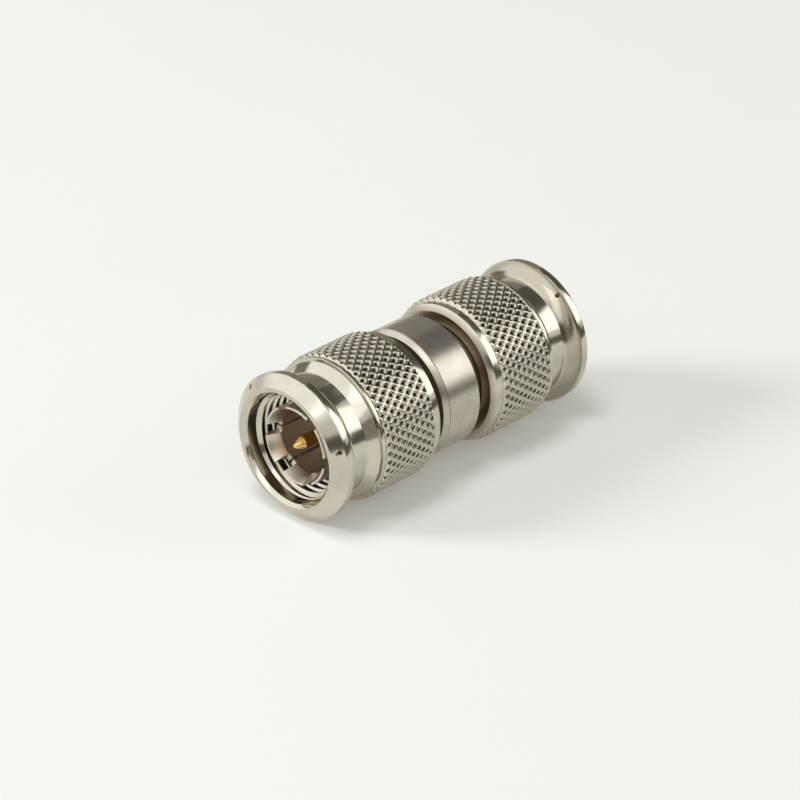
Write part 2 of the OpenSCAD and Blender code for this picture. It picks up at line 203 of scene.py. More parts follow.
class AdapterNutSizes(bpy.types.PropertyGroup):
    """Sizes of a coupling nut; distances along it are measured from its lip."""

    total: length("Nut length", 14.1, "Length of a nut from its lip to its rear face")
    flange_radius: length("Flange radius", 7.5, "Radius of the rim of the flange")
    lip_radius: length("Lip radius", 6.32, "Outer radius of the flat lip")
    lip_inner: length("Lip inner radius", 5.9, "Inner radius of the flat lip")
    rim_front: length("Rim front", 0.975, "Distance of the rim's front edge from the lip")
    rim_back: length("Rim back", 1.75, "Distance of the rim's rear edge from the lip")
    rim_flat: length("Rim flat", 0.06, "Width of the flat ring behind the rim")
    neck_radius: length("Neck radius", 6.22, "Radius of the plain neck")
    neck_start: length("Neck start", 3.0, "End of the hollow back of the flange, where the neck starts")
    cone_start: length("Cone start", 4.71, "Start of the cone in front of the grip")
    cone_end: length("Cone end", 5.78, "End of the cone")
    cone_radius: length("Cone radius", 6.92, "Largest radius of the cone")
    land_radius: length("Land radius", 7.31, "Radius of the narrow ring in front of the knurl")
    knurl_start: length("Knurl start", 6.22, "Start of the knurl")
    knurl_row: length("Knurl row", 0.67, "Distance between neighbouring rows of pits")
    knurl_rows: bpy.props.IntProperty(name="Knurl rows", description="Rows of pits", default=10)
    knurl_count: bpy.props.IntProperty(name="Pits in a row", description="Pits around", default=48)
    knurl_depth: length("Knurl depth", 0.36, "Depth of a pit below its ridges")
    collar_radius: length("Collar radius", 7.15, "Radius of the plain collar behind the knurl")
    collar_end: length("Collar end", 13.73, "End of the collar")
    rear_radius: length("Rear radius", 6.53, "Outer radius of the flat rear face")
    wire_circle: length("Lockwire circle", 7.02, "Radius on which the lockwire holes stand")
    wire_radius: length("Lockwire radius", 0.2048, "Radius of a lockwire hole")
    mouth_radius: length("Mouth radius", 5.6, "Radius of the plain mouth")
    mouth_edge: length("Mouth edge", 0.4, "Depth of the chamfer inside the lip")
    mouth_depth: length("Mouth depth", 1.45, "Depth of the plain mouth")
    thread_minor: length("Thread minor radius", 5.1, "Radius of the thread's crests")
    thread_major: length("Thread major radius", 5.58, "Radius of the thread's roots")
    thread_pitch: length("Thread pitch", 0.907, "Advance of the thread in one turn")
    thread_end: length("Thread end", 8.2, "Inner end of the thread")
    land_bore: length("Land bore", 5.28, "Radius of the lands that run on the neck")
    relief_radius: length("Relief radius", 5.75, "Radius of the grooves between the lands")
    front_land: length("Front land", 9.4, "Start of the front land")
    ring_groove: length("Ring groove", 11.0, "Start of the groove for the retaining ring")
    rear_land: length("Rear land", 13.4, "Start of the rear land")
    upper_turn: bearing("Upper nut turn", 62.8, "Angle of the upper nut's first lockwire hole")
    upper_knurl: bearing("Upper knurl shift", -56.25, "Angle from that hole to a pit of row one")
    lower_turn: bearing("Lower nut turn", 92.4, "Angle of the lower nut's first lockwire hole")
    lower_knurl: bearing("Lower knurl shift", 0.0, "Angle from that hole to a pit of row one")


class AdapterBodySizes(bpy.types.PropertyGroup):
    """Sizes of the two body halves, their gaskets and where they sit in the row frame."""

    height: length("Total height", 35.5, "Height of the adapter from lip to lip")
    band_bottom: length("Band bottom", 15.6, "Height of the band's lower face")
    band_top: length("Upper start", 21.0, "Height from which the upper end is measured")
    joint: length("Joint height", 19.9, "Height of the line between the two halves")
    joint_half: length("Joint half width", 0.05, "Half the width of the groove along that line")
    joint_cut: length("Joint depth", 0.14, "Depth of that groove")
    band_radius: length("Band radius", 6.7, "Radius of the plain band")
    band_edge: length("Band edge", 0.2, "Chamfer on the lower edge of the band")
    upper_face: length("Upper face", 20.42, "Height of the face of the upper half's part of the band")
    upper_edge: length("Upper edge", 0.442, "Chamfer on that part of the band")
    neck_radius: length("Neck radius", 5.2, "Radius of the necks under the nuts")
    reach: length("Neck reach", 5.1, "Length of a neck from the face of the band")
    groove_start: length("Groove start", 2.5, "Start of the retaining ring's groove")
    groove_width: length("Groove width", 0.7, "Width of that groove")
    groove_radius: length("Groove radius", 4.55, "Radius of that groove's floor")
    seat_radius: length("Seat radius", 4.07, "Radius of the bore that holds a contact")
    seat_depth: length("Seat depth", 2.0, "Distance of that bore's floor from the band's face")
    hollow: length("Hollow radius", 3.3, "Radius of the bore through the middle")
    spigot: length("Spigot radius", 4.68, "Radius of the upper half's spigot")
    spigot_length: length("Spigot length", 3.5, "Length of the spigot")
    spigot_room: length("Spigot room", 0.2, "Room behind the spigot")
    fit: length("Fit", 0.02, "Room around the spigot")
    gasket_inner: length("Gasket inner radius", 4.1, "Inner radius of a gasket")
    gasket_outer: length("Gasket radius", 5.0, "Outer radius of a gasket")
    gasket_thick: length("Gasket thickness", 0.8, "Thickness of a gasket")


class AdapterContactSizes(bpy.types.PropertyGroup):
    """Sizes of the outer contacts, the beads and the centre contact, measured from the band's face."""

    start: length("Contact start", 2.0, "Rear end of an outer contact")
    reach: length("Contact reach", 13.3, "Front end of the fingers and of the pin")
    radius: length("Contact radius", 4.05, "Outer radius of the fingers")
    bore: length("Finger bore", 3.3, "Inner radius of the fingers")
    tip_radius: length("Tip radius", 3.82, "Inner radius of the flat finger tips")
    tip_depth: length("Tip depth", 1.45, "Length of the flare inside the tips")
    slit_width: length("Slit width", 0.22, "Width of the slits between the fingers")
    slit_depth: length("Slit depth", 5.2, "Length of the slits")
    slit_turn: bearing("Slit angle", 34.0, "Angle of the first slit")
    notch_width: length("Notch width", 1.2, "Width of the notch that opens a slit at the tips")
    notch_depth: length("Notch depth", 1.55, "Depth of that notch")
    bead_seat: length("Bead seat", 3.55, "Radius of the bore that holds the bead")
    bead_radius: length("Bead radius", 3.53, "Radius of a bead")
    bead_hole: length("Bead hole", 0.87, "Radius of the hole through a bead")
    bead_length: length("Bead length", 3.5, "Length of a bead")
    pin_radius: length("Pin radius", 0.675, "Radius of the pin")
    pin_end: length("Pin end radius", 0.17, "Radius of the pin's blunt point")
    pin_cone: length("Pin cone", 1.0, "Length of the pin's point")
    pin_seat: length("Pin seat", 0.85, "Radius of the rod inside a bead")
    core: length("Core radius", 1.4, "Radius of the rod between the beads")


class AdapterFinishes(bpy.types.PropertyGroup):
    """Colours of the finishes, of the painted shade in pits, gaps, bores and on the knurl, and how rough they
    are.
    """

    nut_pale: tint("Nut, pale", (0.63, 0.59, 0.50, 1), "Plain metal of the nuts")
    nut_deep: tint("Nut, deep", (0.56, 0.515, 0.43, 1), "Duller patches on the nuts")
    # pit: painted shade in the cores of the knurl's pits
    pit: tint("Pit", (0.09, 0.078, 0.06, 1), "Dull cores of the knurl's pits")
    # dark: painted shade on the rear faces, the backs of the flanges and the body beside the band; also the
    # rings' duller tone
    dark: tint("Dark", (0.40, 0.345, 0.275, 1), "Dull metal in the gaps beside the band")
    body_pale: tint("Body, pale", (0.57, 0.53, 0.455, 1), "Plain metal of the body")
    body_deep: tint("Body, deep", (0.50, 0.455, 0.38, 1), "Duller patches on the body")
    contact_pale: tint("Contact, pale", (0.78, 0.73, 0.65, 1), "Plated metal of the fingers")
    contact_deep: tint("Contact, deep", (0.68, 0.62, 0.54, 1), "Duller patches on the fingers")
    gold_pale: tint("Gold, pale", (0.90, 0.60, 0.24, 1), "Plating of the centre contact")
    gold_deep: tint("Gold, deep", (0.76, 0.46, 0.17, 1), "Duller patches on the plating")
    # bore: painted shade in the bore of the fingers
    bore: tint("Bore", (0.66, 0.565, 0.47, 1), "Dull metal in the bore of the fingers")
    # grip: painted shade over the whole knurl
    grip: tint("Grip", (0.55, 0.51, 0.43, 1), "Worn metal of the knurl")
    rubber: tint("Rubber", (0.22, 0.06, 0.035, 1), "Gasket rubber")
    rubber_dust: tint("Rubber, dusty", (0.34, 0.13, 0.09, 1), "Paler bloom on the rubber")
    bead: tint("Bead", (0.80, 0.79, 0.74, 1), "Insulator")
    bead_deep: tint("Bead, deep", (0.66, 0.64, 0.57, 1), "Faint marks on the insulator")
    brushed: share("Brushed roughness", 0.27, "Roughness of the body")
    satin: share("Satin roughness", 0.14, "Roughness of the nuts")
    plated: share("Plated roughness", 0.3, "Roughness of the plated fingers")
    polished: share("Polished roughness", 0.2, "Roughness of the gold plating")
    spring: share("Spring roughness", 0.35, "Roughness of the retaining rings")
    bead_rough: share("Bead roughness", 0.5, "Roughness of the insulator")
    rubber_rough: share("Rubber roughness", 0.6, "Roughness of the gaskets")
    worn_more: share("Worn, rougher", 0.06, "How much rougher the knurl is")
    dull_more: share("Dull, rougher", 0.1, "How much rougher the pits, the rear faces and the bores are")
    gap_more: share("Gap, rougher", 0.15, "How much rougher the body is in the gaps beside the band")


class AdapterStage(bpy.types.PropertyGroup):
    """Camera, lamps, stand and room."""

    lens: bpy.props.FloatProperty(name="Lens", description="Focal length", default=148.5, unit="CAMERA")
    front_level: share("Front lamp", 0.75, "Brightness of the wide lamp above the camera", 4.0)
    right_level: share("Right lamp", 1.12, "Brightness of the soft lamp on the right", 4.0)
    top_level: share("Top lamp", 9.2, "Brightness of the small lamp overhead", 40.0)
    key_level: share("Key lamp", 27.0, "Brightness of the small key lamp on the left", 40.0)
    room: tint("Room", (0.985, 1.0, 0.985, 1), "Colour of the pale room where it is seen")
    fill: tint("Fill", (1.0, 0.985, 0.93, 1), "Colour of the room's own light")
    room_level: share("Room level", 0.82, "Brightness of the pale room where it is seen", 2.0)
    sky_level: share("Sky level", 1.35, "Brightness of the room above and to the left", 2.0)
    fill_level: share("Fill level", 0.3, "Brightness of the room's own light", 2.0)
    stand_pale: tint("Stand, pale", (0.835, 0.86, 0.85, 1), "Paper of the stand")
    stand_deep: tint("Stand, deep", (0.82, 0.845, 0.835, 1), "Faint clouds in the paper")
    stand_glow: tint("Stand glow", (0.90, 0.895, 0.79, 1), "Paleness of the paper where it is seen")
    glow_share: share("Glow share", 0.25, "Part of that paleness in the paper")
    screen: tint("Screen", (0.28, 0.27, 0.24, 1), "Dark screens that give the metal its contrast")
    grey_screen: tint("Grey screen", (0.70, 0.68, 0.62, 1), "Paler screens beside them")


class Shell:
    """Collects vertex grids and their faces, and welds them into one mesh."""

    def __init__(self):
        self.points, self.faces, self.count = [], [], 0

    def add(self, points):
        """Adds an array of points and returns their indexes in the same layout."""
        index = self.count + np.arange(points.size // 3).reshape(points.shape[:-1])
        self.points.append(points.reshape(-1, 3))
        self.count += index.size
        return index

    def quads(self, index, wrap=True, keep=None, flip=False):
        """Faces between neighbouring rows and columns of an index grid.

        With the rows going up outside, inwards on top and down inside, the faces point outwards.
        """
        if wrap:
            index = np.concatenate([index, index[:, :1]], axis=1)
        cells = np.stack([index[:-1, :-1], index[:-1, 1:], index[1:, 1:], index[1:, :-1]], axis=-1)
        if keep is not None:
            cells = cells[:, keep]
        cells = cells.reshape(-1, 4)
        self.faces.append(cells[:, ::-1] if flip else cells)

    def polygons(self, *corners):
        """Faces from arrays of first, second, third and further corners."""
        self.faces.append(np.stack(corners, axis=-1).reshape(-1, len(corners)))

    def turned(self, profile, columns):
        """A (radius, height) profile carried once around the axis."""
        angles = np.arange(columns) * TURN / columns
        index = self.add(around(profile[:, :1], angles, profile[:, 1:]))
        self.quads(index)
        return index

    def mesh(self, name, place, sharp=30.0):
        """Welded mesh after place() has moved the points into the row frame."""
        mesh = bpy.data.meshes.new(name)
        faces = [face for block in self.faces for face in block.tolist()]
        mesh.from_pydata(place(np.concatenate(self.points)), [], faces)
        work = bmesh.new()
        work.from_mesh(mesh)
        bmesh.ops.remove_doubles(work, verts=work.verts, dist=WELD)
        bmesh.ops.dissolve_degenerate(work, edges=work.edges, dist=WELD)
        work.to_mesh(mesh)
        work.free()
        mesh.shade_smooth()
        mesh.set_sharp_from_angle(angle=math.radians(sharp))
        return mesh


def around(radius, angle, height):
    """Points at radius, angle and height around the z axis: x = r cos a, y = r sin a."""
    radius, angle, height = np.broadcast_arrays(radius, angle, height)
    return np.stack([radius * np.cos(angle), radius * np.sin(angle), height], axis=-1)


def rounded(corners, closed=False, steps=3):
    """Profile through (radius, height, rounding) corners.

    A rounded corner becomes an arc that touches both of its edges: its centre lies on the bisector of
    the corner, at the rounding divided by the sine of half the corner's angle.
    """
    spots = np.array([corner[:2] for corner in corners], float)
    parts = []
    for i, corner in enumerate(corners):
        here, bend = spots[i], corner[2]
        if bend <= 0 or (not closed and i in (0, len(corners) - 1)):
            parts.append(here[None])
            continue
        back, ahead = spots[i - 1] - here, spots[(i + 1) % len(corners)] - here
        room = ROUND_ROOM * min(np.hypot(*back), np.hypot(*ahead))
        back, ahead = back / np.hypot(*back), ahead / np.hypot(*ahead)
        half = math.acos(float(np.clip(back @ ahead, -1, 1))) / 2
        reach = min(bend / math.tan(half), room)
        bend = reach * math.tan(half)
        middle = (back + ahead) / np.hypot(*(back + ahead))
        centre = here + middle * bend / math.sin(half)
        first, last = here + back * reach - centre, here + ahead * reach - centre
        start = math.atan2(first[1], first[0])
        swing = (math.atan2(last[1], last[0]) - start + math.pi) % TURN - math.pi
        arc = start + swing * np.linspace(0, 1, steps + 1)
        parts.append(centre + bend * np.stack([np.cos(arc), np.sin(arc)], axis=1))
    profile = np.concatenate(parts)
    return np.concatenate([profile, profile[:1]]) if closed else profile


def upright(points):
    """Leaves points that are already in the row frame."""
    return points


def lifted(base):
    """Moves an upper end's pieces to the height they start from."""
    return lambda points: points + np.array([0, 0, base])


def turned_over(base):
    """Half a turn about x, so that a distance from the lip or the band runs down from base."""
    return lambda points: points * np.array([1, -1, -1]) + np.array([0, 0, base])


def spun(angle, place):
    """Turns points about the axis before they are placed."""
    across, along = math.cos(angle), math.sin(angle)
    spin = np.array([[across, along, 0], [-along, across, 0], [0, 0, 1]])
    return lambda points: place(points @ spin)


def both_ends(body):
    """The names of the two ends and how their pieces, measured from the band's faces, are placed."""
    return ("upper", lifted(body.band_top)), ("lower", turned_over(body.band_bottom))


def ring_shell(inner, outer, low, high, soft, columns):
    """A plain ring: a rectangle of radius and height with rounded corners, carried around the axis."""
    shell = Shell()
    shell.turned(rounded([
        (inner, low, soft),
        (outer, low, soft),
        (outer, high, soft),
        (inner, high, soft),
    ], closed=True, steps=5), columns)
    return shell


def bevel_height(size, radius):
    """Front of the flange: a cone from the lip's edge to the rim."""
    return size.rim_front * (radius - size.lip_radius) / (size.flange_radius - size.lip_radius)


def flare_arc(size):
    """Radius of the arc behind the flange, and the radius and height of its middle.

    The arc runs from the neck to the rim, and its ends turn by FLARE_BEND from the straight line between
    them. So its radius is half that line over the sine of the bend, and its middle lies square to the
    line's own middle.
    """
    long, high = size.neck_start - size.rim_back, size.flange_radius - size.rim_flat - size.neck_radius
    line = math.hypot(long, high)
    bow = line / 2 / math.sin(FLARE_BEND)
    away = bow * math.cos(FLARE_BEND) / line
    return bow, size.neck_radius + high / 2 + long * away, size.rim_back + long / 2 + high * away


def flange_back_height(size, radius):
    """Back of the flange: the arc of flare_arc(), and a flat ring behind the rim."""
    bow, middle, height = flare_arc(size)
    inward = middle - np.clip(radius, size.neck_radius, size.flange_radius - size.rim_flat)
    return height - np.sqrt(bow**2 - inward**2)


def pierced_face(shell, size, height, radii, back):
    """A turned face w = height(r) between radii[0] and radii[-1], with the lockwire holes cut into it.

    Away from the holes it is a grid of radius and angle. Around each hole, straight lines run from the
    edge of a patch of that grid to a circle with the same number of points. Returns the holes' edges.
    """
    angles = np.arange(NUT_COLUMNS) * TURN / NUT_COLUMNS
    index = shell.add(around(radii[:, None], angles, height(size, radii)[:, None]))
    part = NUT_COLUMNS // WIRE_HOLES
    column = np.arange(NUT_COLUMNS) % part
    shell.quads(index, keep=(column >= HOLE_COLUMNS) & (column < part - HOLE_COLUMNS))
    if back:
        index = index[::-1]
    edges = []
    for hole in range(WIRE_HOLES):
        here = (hole * part + np.arange(-HOLE_COLUMNS, HOLE_COLUMNS + 1)) % NUT_COLUMNS
        patch = index[:, here]
        rim = np.concatenate([patch[0, :-1], patch[:-1, -1], patch[-1, :0:-1], patch[:0:-1, 0]])
        frame_points = np.concatenate(shell.points)[rim]
        turn = hole * TURN / WIRE_HOLES
        axis = np.array([math.cos(turn), math.sin(turn)])
        side = np.array([-axis[1], axis[0]])
        centre = size.wire_circle * axis
        corner = frame_points[0, :2] - centre
        start = math.atan2(corner @ side, corner @ axis)
        swing = start - np.arange(len(rim)) * TURN / len(rim)
        outward = np.cos(swing)[:, None] * axis + np.sin(swing)[:, None] * side
        circle = centre + HOLE_EDGE * size.wire_radius * outward
        inward = np.linspace(0, 1, HOLE_RINGS + 1)[:, None, None]
        plan = (1 - inward) * frame_points[None, :, :2] + inward * circle[None]
        lift = height(size, np.hypot(plan[..., 0], plan[..., 1]))
        rings = np.concatenate([plan, lift[..., None]], axis=-1)
        wall = rings[-1:].copy()
        wall[0, :, :2] = centre + (rings[-1, :, :2] - centre) / HOLE_EDGE
        wall[..., 2] += HOLE_SINK * (-1 if back else 1)
        rings = shell.add(np.concatenate([rings, wall]))
        shell.quads(rings, flip=back)
        edges.append(rings[-1])
    return edges


def knurl_surface(shell, size, shift, below, above):
    """Crossing ridges around the grip, joined to the coarser rings below and above.

    With a counting pits around and b counting pairs of rows, p = a + b and q = a - b are whole numbers
    in the pits and halfway between them on the ridges. The depth follows a rounded largest of the
    distances of p and q from a whole number: a narrow flat top on each ridge, and walls that grow
    steeper towards the middle of the pit. At both ends the ridges sink to a plain foot.
    """
    columns = 2 * NUT_COLUMNS
    angles = np.arange(columns) * TURN / columns
    rows = np.arange(KNURL_STEPS * size.knurl_rows + 1) / KNURL_STEPS
    a = (angles[None] - shift) * size.knurl_count / TURN
    b = (rows[:, None] - 0.5) / 2

    def off_whole(value):
        """Twice the distance from the nearest whole number, so 1 halfway between two of them."""
        return 2 * np.abs(value - np.round(value))

    away = (off_whole(a + b) ** PIT_CORNER + off_whole(a - b) ** PIT_CORNER) ** (1 / PIT_CORNER)
    crest = size.flange_radius
    into = np.clip((PIT_TOP - away) / (PIT_TOP - PIT_FLOOR), 0, 1)
    radius = crest - size.knurl_depth * (PIT_SLOPE * into + (1 - PIT_SLOPE) * into**2)
    foot = crest - KNURL_FOOT * size.knurl_depth
    edge = np.minimum(rows, rows[-1] - rows)[:, None] * size.knurl_row
    radius = foot + (radius - foot) * np.clip(edge / KNURL_RISE, 0, 1)
    step = size.knurl_row - 2 * KNURL_INSET / size.knurl_rows
    height = size.knurl_start + KNURL_INSET + rows[:, None] * step
    index = shell.add(around(radius, angles[None], height))
    ring = np.concatenate([index, index[:, :1]], axis=1)
    low, high = ring[:-1], ring[1:]
    a_mid, b_mid = a + size.knurl_count / columns / 2, b[:-1] + 0.25 / KNURL_STEPS
    rising = off_whole(a_mid - b_mid) > off_whole(a_mid + b_mid)
    for chosen, first, second in (
        (rising, (low[:, :-1], low[:, 1:], high[:, 1:]), (low[:, :-1], high[:, 1:], high[:, :-1])),
        (~rising, (low[:, :-1], low[:, 1:], high[:, :-1]), (low[:, 1:], high[:, 1:], high[:, :-1])),
    ):
        for corners in (first, second):
            shell.polygons(*(corner[chosen] for corner in corners))
    for coarse, fine, upward in ((below, index[0], True), (above, index[-1], False)):
        even, odd, following = fine[0::2], fine[1::2], np.roll(fine, -2)[0::2]
        ahead = np.roll(coarse, -1)
        if upward:
            shell.polygons(coarse, ahead, odd)
            shell.polygons(coarse, odd, even)
            shell.polygons(ahead, following, odd)
        else:
            shell.polygons(even, odd, coarse)
            shell.polygons(odd, following, ahead)
            shell.polygons(coarse, odd, ahead)


def thread_surface(shell, size):
    """Right-hand thread inside the nut: rows follow the helix w = pitch (turns + share of a turn).

    Across one pitch the radius is a flat crest, a flank, a flat root and a flank. Both ends are cut by
    a chamfer, and rows beyond an end are gathered on it, where the weld closes them.
    """
    root = 0.5 - ROOT_HALF
    flank = (CREST_HALF + root) / 2
    shares = np.array([-CREST_HALF, 0, CREST_HALF, flank, root, 0.5, 1 - root, 1 - flank])
    pitches = np.arange(-1, math.ceil(size.thread_end / size.thread_pitch) + 2)
    turns = (pitches[:, None] + shares[None]).ravel()
    columns = np.arange(NUT_COLUMNS + 1) / NUT_COLUMNS
    away = np.abs((turns + 0.5) % 1 - 0.5)
    depth = np.clip((away - CREST_HALF) / (root - CREST_HALF), 0, 1)[:, None]
    height = np.clip(size.thread_pitch * (turns[:, None] + columns[None]), size.mouth_depth, size.thread_end)
    into = np.minimum(height - size.mouth_depth, size.thread_end - height)
    opened = np.clip(into / THREAD_RISE, 0, 1)
    chamfer = size.mouth_radius - THREAD_STEP - THREAD_SLOPE * into
    radius = np.maximum(size.thread_minor + (size.thread_major - size.thread_minor) * depth * opened, chamfer)
    index = shell.add(around(radius, columns[None] * TURN, height))
    shell.quads(index, wrap=False, flip=True)


def nut_shell(size, shift):
    """A coupling nut in its own frame: lip at height 0 and its first lockwire hole at angle 0."""
    shell = Shell()
    front = np.linspace(size.lip_radius + LIP_MARGIN, size.flange_radius - FRONT_MARGIN, HOLE_ROWS + 1)
    bow, middle, _ = flare_arc(size)
    ends = np.arcsin((middle - np.array([size.flange_radius - size.rim_flat, size.neck_radius])) / bow)
    flare = middle - bow * np.sin(np.linspace(*ends, HOLE_ROWS))
    rear = np.append(size.flange_radius - BACK_MARGIN, flare)
    front_height, rear_height = bevel_height(size, front), flange_back_height(size, rear)
    shell.turned(rounded([
        (size.mouth_radius - THREAD_STEP, size.mouth_depth, 0),
        (size.mouth_radius, size.mouth_edge, SOFT),
        (size.lip_inner, 0, LIP_INNER_ROUND),
        (size.lip_radius, 0, LIP_OUTER_ROUND),
        (front[0], front_height[0], 0),
    ]), NUT_COLUMNS)
    holes = pierced_face(shell, size, bevel_height, front, False)
    shell.turned(rounded([
        (front[-1], front_height[-1], 0),
        (size.flange_radius, size.rim_front, BROAD),
        (size.flange_radius, size.rim_back, EASED),
        (rear[0], rear_height[0], 0),
    ]), NUT_COLUMNS)
    for near, far in zip(holes, pierced_face(shell, size, flange_back_height, rear, True)):
        shell.quads(np.stack([near, far]))
    end = size.knurl_start + size.knurl_rows * size.knurl_row
    below = shell.turned(rounded([
        (rear[-1], rear_height[-1], 0),
        *((size.neck_radius, size.neck_start + ring, 0) for ring in NECK_RINGS),
        (size.neck_radius, size.cone_start, EASED),
        (size.cone_radius, size.cone_end, SOFT),
        (size.land_radius, size.cone_end, LAND_ROUND),
        (size.land_radius, size.knurl_start - KNURL_GAP, SOFT),
        (size.flange_radius - KNURL_FOOT * size.knurl_depth, size.knurl_start + KNURL_GAP / 2, 0),
    ]), NUT_COLUMNS)[-1]
    above = shell.turned(rounded([
        (size.collar_radius, end + KNURL_GAP, 0),
        (size.collar_radius, size.collar_end, SOFT),
        (size.rear_radius, size.total, FINE),
        (size.land_bore + BROAD, size.total, 0),
        (size.land_bore, size.total - BROAD, 0),
        (size.land_bore, size.rear_land, 0),
        (size.relief_radius, size.rear_land, SOFT),
        (size.relief_radius, size.ring_groove, SOFT),
        (size.land_bore, size.ring_groove, CRISP),
        (size.land_bore, size.front_land, CRISP),
        (size.relief_radius, size.front_land, SOFT),
        (size.relief_radius, size.thread_end, BROAD),
        (size.mouth_radius - THREAD_STEP, size.thread_end, 0),
    ]), NUT_COLUMNS)[0]
    knurl_surface(shell, size, shift, below, above)
    thread_surface(shell, size)
    return shell


def mark_painted_shade(mesh, size, from_lip):
    """Stores for each vertex how deep it lies in a pit, its painted shade, and if it is on the grip.

    The depth is a share of the pit's own. The rear face gets full painted shade, and the back of the flange
    less, with a soft border at the rim and at the neck.
    """
    spots = np.empty(len(mesh.vertices) * 3)
    mesh.vertices.foreach_get("co", spots)
    spots = spots.reshape(-1, 3)
    radius, along = np.hypot(spots[:, 0], spots[:, 1]), from_lip(spots[:, 2])
    end = size.knurl_start + size.knurl_rows * size.knurl_row
    outside = radius > size.land_bore + FACE_MARGIN
    grip = outside & (along > size.knurl_start + KNURL_RISE) & (along < end - KNURL_RISE)
    pit = np.where(grip, np.clip((size.flange_radius - radius) / size.knurl_depth, 0, 1), 0)
    # painted shade: part of it on the back of the flange, fading at the rim and the neck, and all of it on
    # the rear face
    at_rim = np.clip((along - size.rim_back) / BACK_FADE[0], 0, 1)
    at_neck = np.clip((size.neck_start - along) / BACK_FADE[1], 0, 1)
    back = np.where(radius > size.neck_radius - FACE_MARGIN, BACK_SHADE * at_rim * at_neck, 0)
    rear = np.where(outside & (along > size.total - REAR_DEPTH), 1.0, back)
    for name, value in (("pit", pit), ("rear", rear), ("grip", grip)):
        mesh.attributes.new(name, "FLOAT", "POINT").data.foreach_set("value", value.astype(float))


def finger_shell(size):
    """A sleeve whose front is split into fingers by narrow slits that open into notches at the tips.

    At radius r half a cut spans the angle arcsin(width / 2r), so its walls stay parallel. In each
    finger's sector the columns run from the slit's edge to the notch's edge, over the finger to the next
    notch and slit, and then across the slit. The flare inside the tips is a cone.
    """
    shell = Shell()
    cells, sector = FINGER_CELLS, TURN / FINGERS
    floor, ledge = size.reach - size.slit_depth, size.reach - size.notch_depth

    def columns(profile):
        """The points of a profile, in one row for each of its corners, on the columns of all fingers."""
        slit = np.arcsin(size.slit_width / 2 / profile[:, :1])
        notch = np.arcsin(size.notch_width / 2 / profile[:, :1])
        finger = notch + np.linspace(0, 1, cells + 1) * (sector - 2 * notch)
        middle = np.full_like(slit, sector)
        bearings = np.concatenate([slit, finger, sector - slit, middle], axis=1)
        angles = size.slit_turn + bearings[:, None] + np.arange(FINGERS)[None, :, None] * sector
        return around(profile[:, :1], angles.reshape(len(profile), -1), profile[:, 1:])

    outside = shell.add(columns(np.array([
        (size.bead_seat, size.start),
        (size.radius - EASED, size.start),
        (size.radius, size.start + EASED),
        (size.radius, floor),
    ])))
    inside = shell.add(columns(np.array([
        (size.bore, floor),
        (size.bore, size.start + size.bead_length),
        (size.bead_seat, size.start + size.bead_length),
        (size.bead_seat, size.start),
    ])))
    slit = shell.add(columns(np.array([
        (size.radius, floor),
        (size.radius, ledge),
        (size.bore, ledge),
        (size.bore, floor),
    ])))
    tips = shell.add(columns(rounded([
        (size.radius, ledge, 0),
        (size.radius, size.reach, TIP_OUTER_ROUND),
        (size.tip_radius, size.reach, TIP_INNER_ROUND),
        (size.bore, size.reach - size.tip_depth, SOFT),
        (size.bore, ledge, 0),
    ])))
    place = np.arange(slit.shape[1]) % (cells + 4)
    shell.quads(outside)
    shell.quads(inside)
    shell.quads(slit[:2], keep=place < cells + 2)
    shell.quads(slit[2:], keep=place < cells + 2)
    shell.quads(slit[1:3], keep=(place == 0) | (place == cells + 1))
    shell.quads(slit[[0, 3]], keep=place >= cells + 2)
    shell.quads(tips, keep=(place >= 1) & (place <= cells))
    shell.polygons(*slit[:, place == 0])
    shell.polygons(*slit[::-1, place == cells + 2])
    shell.polygons(*tips[:, place == 1])
    shell.polygons(*tips[::-1, place == cells + 1])
    return shell


class NodeTree:
    """Short calls that add nodes to a shader tree and link them."""

    def __init__(self, tree):
        self.tree = tree
        self.tree.nodes.clear()

    def node(self, kind, inputs=None, **settings):
        """A node with its settings; an input is a value or another node's output."""
        made = self.tree.nodes.new(kind)
        for key, value in settings.items():
            setattr(made, key, value)
        for key, value in (inputs or {}).items():
            self.put(made.inputs[key], value)
        return made

    def put(self, socket, value):
        """Links an output to a socket, or sets the socket's own value."""
        if isinstance(value, bpy.types.NodeSocket):
            self.tree.links.new(value, socket)
        else:
            socket.default_value = value

    def noise(self, vector, scale, detail, rough):
        """A cloudy pattern between 0 and 1."""
        made = self.node("ShaderNodeTexNoise", {
            "Vector": vector, "Scale": scale, "Detail": detail, "Roughness": rough,
        })
        return made.outputs["Fac"]

    def spread(self, value, low, high, to_low, to_high):
        """Maps low..high of a value to another range and stops at its ends."""
        made = self.node("ShaderNodeMapRange", {
            "Value": value, "From Min": low, "From Max": high, "To Min": to_low, "To Max": to_high,
        })
        return made.outputs["Result"]

    def mix(self, factor, first, second):
        """A colour between two."""
        made = self.node("ShaderNodeMix", dict(zip(MIX_INPUTS, (factor, first, second))), data_type="RGBA")
        return made.outputs[MIX_OUTPUT]

    def math(self, operation, first, second):
        """The result of a sum or a comparison of two values."""
        return self.node("ShaderNodeMath", {0: first, 1: second}, operation=operation).outputs[0]

    def looked_at(self):
        """1 for rays of the camera and for mirrored and passing rays, 0 for light that is gathered."""
        rays = self.node("ShaderNodeLightPath").outputs
        seen = self.math("MAXIMUM", rays["Is Camera Ray"], rays["Is Glossy Ray"])
        return self.math("MAXIMUM", seen, rays["Is Transmission Ray"])


